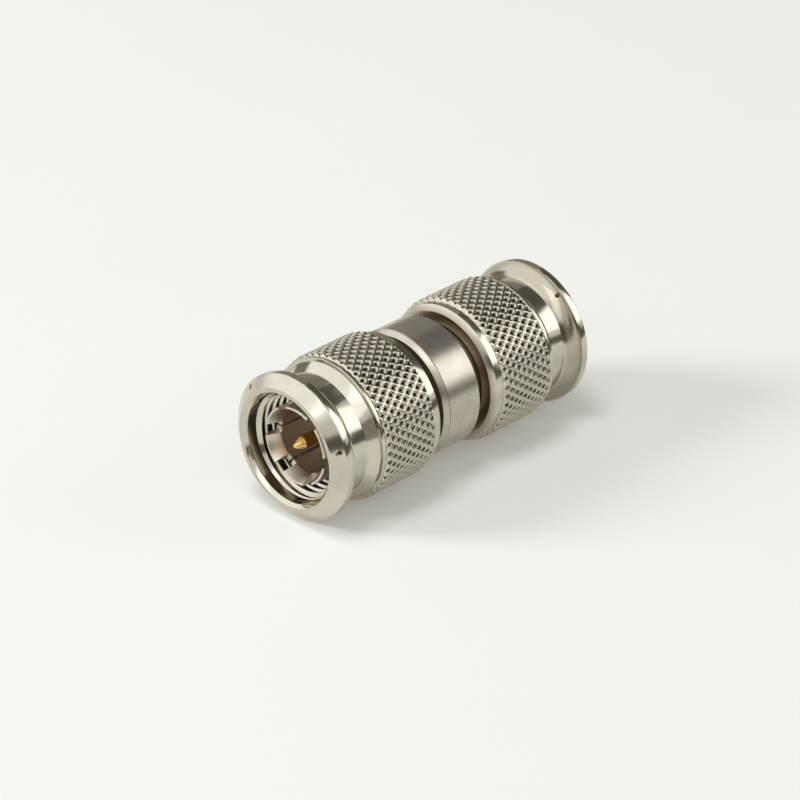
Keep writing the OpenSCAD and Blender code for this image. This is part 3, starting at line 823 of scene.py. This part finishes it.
class Finish(NodeTree):
    """A material with one shader, laid out on the piece's own coordinates."""

    def __init__(self, name):
        self.material = bpy.data.materials.new(name)
        self.material.use_nodes = True
        super().__init__(self.material.node_tree)
        self.shader = self.node("ShaderNodeBsdfPrincipled")
        self.output = self.node("ShaderNodeOutputMaterial", {"Surface": self.shader.outputs["BSDF"]})
        self.place = self.node("ShaderNodeTexCoord").outputs["Object"]

    def turned_place(self):
        """Distance from the axis and height as coordinates, so that a pattern runs around the piece."""
        flat = self.node("ShaderNodeVectorMath", {0: self.place, 1: (1, 1, 0)}, operation="MULTIPLY")
        span = self.node("ShaderNodeVectorMath", {0: flat.outputs[0]}, operation="LENGTH")
        split = self.node("ShaderNodeSeparateXYZ", {0: self.place})
        joined = self.node("ShaderNodeCombineXYZ", {"X": span.outputs["Value"], "Y": split.outputs["Z"]})
        return joined.outputs[0]

    def relief(self, height, depth):
        """Fine bumps of a given depth."""
        made = self.node("ShaderNodeBump", {"Height": height, "Strength": 1.0, "Distance": depth})
        self.put(self.shader.inputs["Normal"], made.outputs[0])


def turned_metal(name, pale, deep, satin, *painted_shades):
    """Metal with the fine rings a lathe leaves and cloudy duller patches.

    Each entry of the last arguments holds a function that adds nodes and returns where the metal gets
    painted shade, the colour of that painted shade, and how much rougher the metal is there.
    """
    finish = Finish(name)
    rings = finish.turned_place()
    lines = finish.noise(rings, RING_SCALE, detail=3.0, rough=0.6)
    cloud = finish.noise(finish.place, CLOUD_SCALE, detail=4.0, rough=0.6)
    colour = finish.mix(finish.spread(cloud, *CLOUD_RANGE, 0.0, 1.0), pale, deep)
    rough = finish.spread(lines, *RING_RANGE, satin - LATHE_SWING, satin + LATHE_SWING)
    # each entry mixes in its painted shade and adds roughness
    for where, dark, rougher in painted_shades:
        amount = where(finish)
        colour = finish.mix(amount, colour, dark)
        rough = finish.math("ADD", rough, finish.spread(amount, 0.0, 1.0, 0.0, rougher))
    finish.put(finish.shader.inputs["Base Color"], colour)
    finish.put(finish.shader.inputs["Roughness"], rough)
    finish.shader.inputs["Metallic"].default_value = 1.0
    finish.relief(lines, LATHE_RELIEF)
    return finish.material


def stored(name):
    """The amount that mark_painted_shade() stored under a name, for turned_metal()."""
    return lambda finish: finish.node("ShaderNodeAttribute", attribute_name=name).outputs["Fac"]


def painted_pit_shade(finish):
    """Painted shade in the cores of the knurl's pits, from the depth that the mesh stores as pit."""
    return finish.spread(stored("pit")(finish), PIT_SHADE_START, PIT_SHADE_FULL, 0.0, 1.0)


def inside_of(radius, fade):
    """What lies nearer to the axis than a radius, with a soft border inside it, for turned_metal()."""
    def where(finish):
        """1 inside the border, 0 outside, from the distance to the axis."""
        away = finish.node("ShaderNodeSeparateXYZ", {0: finish.turned_place()}).outputs["X"]
        return finish.spread(away, radius - fade, radius, 1.0, 0.0)

    return where


def matte(name, plain, marked, rough, grain):
    """Rubber or plastic: a mottled colour, and a fine grain given by its scale and height."""
    finish = Finish(name)
    scale, height = grain
    mottle = finish.noise(finish.place, scale * MOTTLE_SCALE, detail=5.0, rough=0.65)
    fine = finish.noise(finish.place, scale, detail=3.0, rough=0.6)
    colour = finish.mix(finish.spread(mottle, *MOTTLE_RANGE, 0.0, 1.0), plain, marked)
    finish.put(finish.shader.inputs["Base Color"], colour)
    swing = finish.spread(fine, *GRAIN_RANGE, rough - GRAIN_SWING, rough + GRAIN_SWING)
    finish.put(finish.shader.inputs["Roughness"], swing)
    finish.relief(fine, height)
    return finish.material


def kept(name, make):
    """A finish is made once and shared."""
    return bpy.data.materials.get(name) or make()


def smooth_faces(piece):
    """Shades broad faces flat up to their rounded edges."""
    smooth = piece.modifiers.new("smooth_faces", "WEIGHTED_NORMAL")
    smooth.keep_sharp = True


def add_piece(context, name, mesh, body, node, material):
    """Puts a finished mesh on its CAD body, in place of its CAD node."""
    piece = bpy.data.objects.new(name, mesh)
    context.scene.collection.objects.link(piece)
    mesh.materials.append(material)
    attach(piece, body)
    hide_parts(node)
    return piece


def axes_matrix(right, up, back, spot):
    """Transform whose columns are three directions and a place."""
    return Matrix.Translation(spot) @ Matrix((right, up, back)).transposed().to_4x4()


class OBJECT_OT_adapter_stage(bpy.types.Operator):
    """Sets up the camera, the pale stand, the lamps, the screens and the room"""

    bl_idname = "object.adapter_stage"
    bl_label = "Stage"

    def execute(self, context):
        scene = context.scene
        stage, nut, body = scene.adapter_stage, scene.adapter_nut, scene.adapter_body
        scene.view_settings.view_transform = "Standard"
        origin = Vector((0, 0, body.height / 2)) - STAND_UP * (nut.flange_radius + STAND_GAP)

        camera = bpy.data.objects.new("camera", bpy.data.cameras.new("camera"))
        camera.data.lens, camera.data.sensor_width = stage.lens, SENSOR_WIDTH
        camera.data.clip_start, camera.data.clip_end = CLIP_START, CLIP_END
        camera.matrix_world = axes_matrix(STAND_RIGHT, CAMERA_UP, CAMERA_BACK, CAMERA_PLACE)
        scene.collection.objects.link(camera)
        scene.camera = camera

        stand = self.add_grid(context, "stand", origin, self.disc(), self.paper(stage), wrap=True)
        cloths = {
            "dark": self.cloth("screen_cloth", stage.screen),
            "grey": self.cloth("grey_screen_cloth", stage.grey_screen),
        }
        cards = [
            self.add_grid(context, name, origin, self.dome(bearings, elevations), cloths[cloth], wrap=False)
            for name, cloth, bearings, elevations in SCREENS
        ]
        for card in cards:
            card.visible_camera = False

        for name, shape, size, way, mirrored in LAMPS:
            level = getattr(stage, f"{name}_level")
            lamp = self.add_lamp(context, f"{name}_lamp", shape, size, level, origin, way)
            lamp.visible_glossy = mirrored
        scene.world = self.pale_room(stage)
        return {"FINISHED"}

    def pale_room(self, stage):
        """A world that is brightest around a pole leaning to the left, and a weaker fill for gathered light.

        The brightness follows the cosine of the angle between a ray and that pole.
        """
        world = bpy.data.worlds.new("pale_room")
        world.use_nodes = True
        room = NodeTree(world.node_tree)
        pole = STAND_UP * math.cos(SKY_LEAN) - STAND_RIGHT * math.sin(SKY_LEAN)
        way = room.node("ShaderNodeTexCoord").outputs["Generated"]
        lean = room.node("ShaderNodeVectorMath", {0: way, 1: pole}, operation="DOT_PRODUCT").outputs["Value"]
        level = room.spread(lean, *SKY_EDGE, stage.room_level, stage.sky_level)
        seen = room.node("ShaderNodeBackground", {"Color": stage.room, "Strength": level})
        fill = room.node("ShaderNodeBackground", {"Color": stage.fill, "Strength": stage.fill_level})
        blend = room.node("ShaderNodeMixShader", {
            0: room.looked_at(), 1: fill.outputs["Background"], 2: seen.outputs["Background"],
        })
        room.node("ShaderNodeOutputWorld", {"Surface": blend.outputs["Shader"]})
        return world

    def disc(self):
        """Points of a round table top: rings of growing radius around a middle behind the object's left."""
        radius = np.linspace(0, 1, STAND_RINGS)[:, None] * STAND_RADIUS
        angles = np.arange(STAND_COLUMNS)[None] * TURN / STAND_COLUMNS
        return np.array([-STAND_SHIFT, STAND_SHIFT, 0.0]) + around(radius, angles, 0.0)

    def dome(self, bearings, elevations):
        """Points of a card bent as a part of a sphere, between two bearings and two elevations."""
        bend = np.radians(np.linspace(*bearings, SCREEN_COLUMNS))[None]
        rise = np.radians(np.linspace(*elevations, SCREEN_ROWS))[:, None]
        return around(SCREEN_RADIUS * np.cos(rise), bend, SCREEN_RADIUS * np.sin(rise))

    def add_lamp(self, context, name, shape, size, level, origin, way):
        """An area lamp of a given brightness that shines on the stand from a bearing and an elevation."""
        data = bpy.data.lights.new(name, "AREA")
        data.shape, (data.size, data.size_y) = shape, size
        area = size[0] * size[1] * (math.pi / 4 if shape == "DISK" else 1)
        data.energy = level * math.pi * area
        bend, rise = map(math.radians, way)
        heading = STAND_RIGHT * math.cos(bend) + STAND_AWAY * math.sin(bend)
        toward = heading * math.cos(rise) + STAND_UP * math.sin(rise)
        across = STAND_UP.cross(toward).normalized()
        lamp = bpy.data.objects.new(name, data)
        lamp.matrix_world = axes_matrix(across, toward.cross(across), toward, origin + LAMP_RADIUS * toward)
        lamp.visible_camera = False
        context.scene.collection.objects.link(lamp)
        return lamp

    def add_grid(self, context, name, origin, points, material, wrap):
        """Mesh of a grid of points given as right, away and up of the stand."""
        shell = Shell()
        index = shell.add(points)
        shell.quads(index, wrap=wrap, flip=True)
        axes = np.array([STAND_RIGHT, STAND_AWAY, STAND_UP])
        mesh = shell.mesh(name, lambda flat: flat @ axes + np.array(origin))
        mesh.materials.append(material)
        thing = bpy.data.objects.new(name, mesh)
        context.scene.collection.objects.link(thing)
        return thing

    def paper(self, stage):
        """Pale paper, paler where it is seen or mirrored, and clear from below so that the object shows."""
        finish = Finish("stand_paper")
        cloud = finish.noise(finish.place, PAPER_SCALE, detail=4.0, rough=0.6)
        finish.put(finish.shader.inputs["Base Color"], finish.mix(cloud, stage.stand_pale, stage.stand_deep))
        finish.shader.inputs["Roughness"].default_value = PAPER_ROUGH
        finish.shader.inputs["Specular IOR Level"].default_value = PAPER_SHEEN
        glow = finish.node("ShaderNodeEmission", {"Color": stage.stand_glow})
        lit = finish.node("ShaderNodeMixShader", {
            0: finish.spread(finish.looked_at(), 0.0, 1.0, 0.0, stage.glow_share),
            1: finish.shader.outputs["BSDF"],
            2: glow.outputs["Emission"],
        })
        clear = finish.node("ShaderNodeBsdfTransparent")
        below = finish.node("ShaderNodeNewGeometry").outputs["Backfacing"]
        blend = finish.node("ShaderNodeMixShader", {
            0: below, 1: lit.outputs["Shader"], 2: clear.outputs["BSDF"],
        })
        finish.put(finish.output.inputs["Surface"], blend.outputs["Shader"])
        return finish.material

    def cloth(self, name, colour):
        """Dull cloth with a faint weave."""
        finish = Finish(name)
        weave = finish.noise(finish.place, WEAVE_SCALE, detail=3.0, rough=0.6)
        deeper = [WEAVE_DEPTH * channel for channel in colour[:3]] + [1.0]
        finish.put(finish.shader.inputs["Base Color"], finish.mix(weave, colour, deeper))
        finish.shader.inputs["Roughness"].default_value = CLOTH_ROUGH
        return finish.material


class OBJECT_OT_adapter_coupling_nuts(bpy.types.Operator):
    """Builds both knurled coupling nuts with their threads and lockwire holes"""

    bl_idname = "object.adapter_coupling_nuts"
    bl_label = "Coupling nuts"

    def execute(self, context):
        size, body = context.scene.adapter_nut, context.scene.adapter_body
        colours = context.scene.adapter_finish
        # the knurl, the cores of its pits, the rear faces and the flange backs get painted shade
        metal = kept("nut_satin_metal", lambda: turned_metal(
            "nut_satin_metal", colours.nut_pale, colours.nut_deep, colours.satin,
            (stored("grip"), colours.grip, colours.worn_more),
            (painted_pit_shade, colours.pit, colours.dull_more),
            (stored("rear"), colours.dark, colours.dull_more)))
        over = turned_over(body.height)
        ends = (
            ("upper", size.upper_knurl, spun(size.upper_turn, over), lambda height: body.height - height),
            ("lower", size.lower_knurl, spun(size.lower_turn, upright), lambda height: height),
        )
        for end, shift, place, from_lip in ends:
            mesh = nut_shell(size, shift).mesh(f"{end}_nut", place)
            mark_painted_shade(mesh, size, from_lip)
            piece = add_piece(context, f"{end}_nut_turned", mesh, f"{end}_nut", f"{end}_coupling_nut",
                              metal)
            smooth_faces(piece)
        return {"FINISHED"}


class OBJECT_OT_adapter_body_halves(bpy.types.Operator):
    """Builds the lower half of the body with most of the band, and the upper half with its spigot"""

    bl_idname = "object.adapter_body_halves"
    bl_label = "Body halves"

    def execute(self, context):
        size, colours = context.scene.adapter_body, context.scene.adapter_finish
        # the body gets painted shade on everything nearer the axis than the band's upper chamfer, beside the
        # band
        gap_radius = size.band_radius - size.upper_edge - GAP_START
        metal = kept("body_satin_metal", lambda: turned_metal(
            "body_satin_metal", colours.body_pale, colours.body_deep, colours.brushed,
            (inside_of(gap_radius, GAP_FADE), colours.dark, colours.gap_more)))
        base, top = size.band_bottom, size.band_top
        low_groove, high_groove = base - size.groove_start, top + size.groove_start
        line = size.band_radius - size.joint_cut
        floor = size.joint - size.spigot_length - size.spigot_room
        lower = Shell()
        lower.turned(rounded([
            (size.seat_radius, base - size.reach, SOFT),
            (size.neck_radius, base - size.reach, 2 * SOFT),
            (size.neck_radius, low_groove - size.groove_width, SOFT),
            (size.groove_radius, low_groove - size.groove_width, SOFT),
            (size.groove_radius, low_groove, SOFT),
            (size.neck_radius, low_groove, SOFT),
            (size.neck_radius, base, SOFT),
            (size.band_radius - size.band_edge, base, SOFT),
            (size.band_radius, base + size.band_edge, SOFT),
            (size.band_radius, size.joint - size.joint_half, 2 * HAIR),
            (line, size.joint, 0),
            (size.spigot + size.fit, size.joint, SOFT),
            (size.spigot + size.fit, floor, SOFT),
            (size.hollow, floor, SOFT),
            (size.hollow, base - size.seat_depth, SOFT),
            (size.seat_radius, base - size.seat_depth, SOFT),
        ], closed=True), BODY_COLUMNS)
        upper = Shell()
        upper.turned(rounded([
            (size.hollow, size.joint - size.spigot_length, SOFT),
            (size.spigot, size.joint - size.spigot_length, SOFT),
            (size.spigot, size.joint, SOFT),
            (line, size.joint, 0),
            (size.band_radius, size.joint + size.joint_half, HAIR),
            (size.band_radius, size.upper_face - size.upper_edge, HAIR),
            (size.band_radius - size.upper_edge, size.upper_face, SOFT),
            (size.neck_radius, size.upper_face, SOFT),
            (size.neck_radius, high_groove, SOFT),
            (size.groove_radius, high_groove, SOFT),
            (size.groove_radius, high_groove + size.groove_width, SOFT),
            (size.neck_radius, high_groove + size.groove_width, SOFT),
            (size.neck_radius, top + size.reach, 2 * SOFT),
            (size.seat_radius, top + size.reach, SOFT),
            (size.seat_radius, top + size.seat_depth, SOFT),
            (size.hollow, top + size.seat_depth, SOFT),
        ], closed=True), BODY_COLUMNS)
        for node, shell in (("main_body", lower), ("upper_body", upper)):
            name = f"{node}_turned"
            piece = add_piece(context, name, shell.mesh(name, upright), "adapter_body", node,
                              metal)
            smooth_faces(piece)
        return {"FINISHED"}


class OBJECT_OT_adapter_outer_contacts(bpy.types.Operator):
    """Builds the sleeves with their slotted spring fingers"""

    bl_idname = "object.adapter_outer_contacts"
    bl_label = "Outer contacts"

    def execute(self, context):
        size, body = context.scene.adapter_contact, context.scene.adapter_body
        colours = context.scene.adapter_finish
        # the bore of the fingers gets painted shade
        metal = kept("contact_plated_metal", lambda: turned_metal(
            "contact_plated_metal", colours.contact_pale, colours.contact_deep, colours.plated,
            (inside_of(size.bore + BORE_START, BORE_FADE), colours.bore, colours.dull_more)))
        for end, place in both_ends(body):
            name = f"{end}_spring_fingers"
            piece = add_piece(context, name, finger_shell(size).mesh(name, place), "adapter_body",
                              f"{end}_outer_contact", metal)
            edge = piece.modifiers.new("broken_edges", "BEVEL")
            edge.width, edge.segments = CRISP, BREAK_STEPS
            edge.limit_method, edge.angle_limit = "ANGLE", BREAK_ANGLE
            smooth_faces(piece)
        return {"FINISHED"}


class OBJECT_OT_adapter_centre_contact(bpy.types.Operator):
    """Builds the gold-plated rod with a pointed pin at each end"""

    bl_idname = "object.adapter_centre_contact"
    bl_label = "Centre contact"

    def execute(self, context):
        size, body = context.scene.adapter_contact, context.scene.adapter_body
        colours = context.scene.adapter_finish
        gold = kept("pin_gold_plating", lambda: turned_metal(
            "pin_gold_plating", colours.gold_pale, colours.gold_deep, colours.polished))
        half = (
            (0, size.reach, 0),
            (size.pin_end, size.reach, PIN_POINT_ROUND),
            (size.pin_radius, size.reach - size.pin_cone, PIN_SHOULDER_ROUND),
            (size.pin_radius, size.start + size.bead_length, SOFT),
            (size.pin_seat, size.start + size.bead_length, SOFT),
            (size.pin_seat, size.start, SOFT),
            (size.core, size.start, SOFT),
        )
        lower = [(radius, body.band_bottom - along, bend) for radius, along, bend in half]
        upper = [(radius, body.band_top + along, bend) for radius, along, bend in half[::-1]]
        shell = Shell()
        shell.turned(rounded(lower + upper, steps=6), PIN_COLUMNS)
        piece = add_piece(context, "centre_pin_rod", shell.mesh("centre_pin_rod", upright), "adapter_body",
                          "centre_contact", gold)
        smooth_faces(piece)
        return {"FINISHED"}


class OBJECT_OT_adapter_insulator_beads(bpy.types.Operator):
    """Builds the discs that hold the centre contact"""

    bl_idname = "object.adapter_insulator_beads"
    bl_label = "Insulator beads"

    def execute(self, context):
        size, body = context.scene.adapter_contact, context.scene.adapter_body
        colours = context.scene.adapter_finish
        plastic = kept("bead_plastic", lambda: matte(
            "bead_plastic", colours.bead, colours.bead_deep, colours.bead_rough, BEAD_GRAIN))
        for end, place in both_ends(body):
            name, top = f"{end}_bead_disc", size.start + size.bead_length
            shell = ring_shell(size.bead_hole, size.bead_radius, size.start, top, BEAD_ROUND, BEAD_COLUMNS)
            piece = add_piece(context, name, shell.mesh(name, place), "adapter_body", f"{end}_insulator_bead",
                              plastic)
            smooth_faces(piece)
        return {"FINISHED"}


class OBJECT_OT_adapter_gaskets(bpy.types.Operator):
    """Builds the soft rings on the front faces of the necks"""

    bl_idname = "object.adapter_gaskets"
    bl_label = "Gaskets"

    def execute(self, context):
        size, colours = context.scene.adapter_body, context.scene.adapter_finish
        rubber = kept("gasket_rubber", lambda: matte(
            "gasket_rubber", colours.rubber, colours.rubber_dust, colours.rubber_rough, RUBBER_GRAIN))
        for end, place in both_ends(size):
            name, top = f"{end}_gasket_ring", size.reach + size.gasket_thick
            shell = ring_shell(size.gasket_inner, size.gasket_outer, size.reach, top,
                               GASKET_ROUND, GASKET_COLUMNS)
            piece = add_piece(context, name, shell.mesh(name, place), "adapter_body", f"{end}_gasket",
                              rubber)
            smooth_faces(piece)
        return {"FINISHED"}


class OBJECT_OT_adapter_retaining_rings(bpy.types.Operator):
    """Gives the split rings, whose solids are kept, their spring metal"""

    bl_idname = "object.adapter_retaining_rings"
    bl_label = "Retaining rings"

    def execute(self, context):
        colours = context.scene.adapter_finish
        metal = kept("ring_spring_metal", lambda: turned_metal(
            "ring_spring_metal", colours.contact_deep, colours.dark, colours.spring))
        for name in ("upper_retaining_ring", "lower_retaining_ring"):
            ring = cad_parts[name]
            if not ring.material_slots:
                raise RuntimeError(f"{name} has no material slot")
            ring.material_slots[0].material = metal
        return {"FINISHED"}


STEPS = (
    OBJECT_OT_adapter_stage,
    OBJECT_OT_adapter_coupling_nuts,
    OBJECT_OT_adapter_body_halves,
    OBJECT_OT_adapter_outer_contacts,
    OBJECT_OT_adapter_centre_contact,
    OBJECT_OT_adapter_insulator_beads,
    OBJECT_OT_adapter_gaskets,
    OBJECT_OT_adapter_retaining_rings,
)
GROUPS = {
    "adapter_nut": AdapterNutSizes,
    "adapter_body": AdapterBodySizes,
    "adapter_contact": AdapterContactSizes,
    "adapter_finish": AdapterFinishes,
    "adapter_stage": AdapterStage,
}


class VIEW3D_PT_adapter(bpy.types.Panel):
    """Lists the steps that build the adapter"""

    bl_idname = "VIEW3D_PT_adapter"
    bl_label = "Coaxial adapter"
    bl_space_type = "VIEW_3D"
    bl_region_type = "UI"
    bl_category = "Adapter"

    def draw(self, context):
        for step in STEPS:
            self.layout.operator(step.bl_idname)


def register():
    for group in GROUPS.values():
        bpy.utils.register_class(group)
    for step in STEPS:
        bpy.utils.register_class(step)
    bpy.utils.register_class(VIEW3D_PT_adapter)
    for name, group in GROUPS.items():
        setattr(bpy.types.Scene, name, bpy.props.PointerProperty(type=group))


def unregister():
    for name in GROUPS:
        delattr(bpy.types.Scene, name)
    bpy.utils.unregister_class(VIEW3D_PT_adapter)
    for known in (*reversed(STEPS), *GROUPS.values()):
        bpy.utils.unregister_class(known)


def main():
    register()
    bpy.ops.object.adapter_stage()
    bpy.ops.object.adapter_coupling_nuts()
    bpy.ops.object.adapter_body_halves()
    bpy.ops.object.adapter_outer_contacts()
    bpy.ops.object.adapter_centre_contact()
    bpy.ops.object.adapter_insulator_beads()
    bpy.ops.object.adapter_gaskets()
    bpy.ops.object.adapter_retaining_rings()


if __name__ == "__main__":
    main()
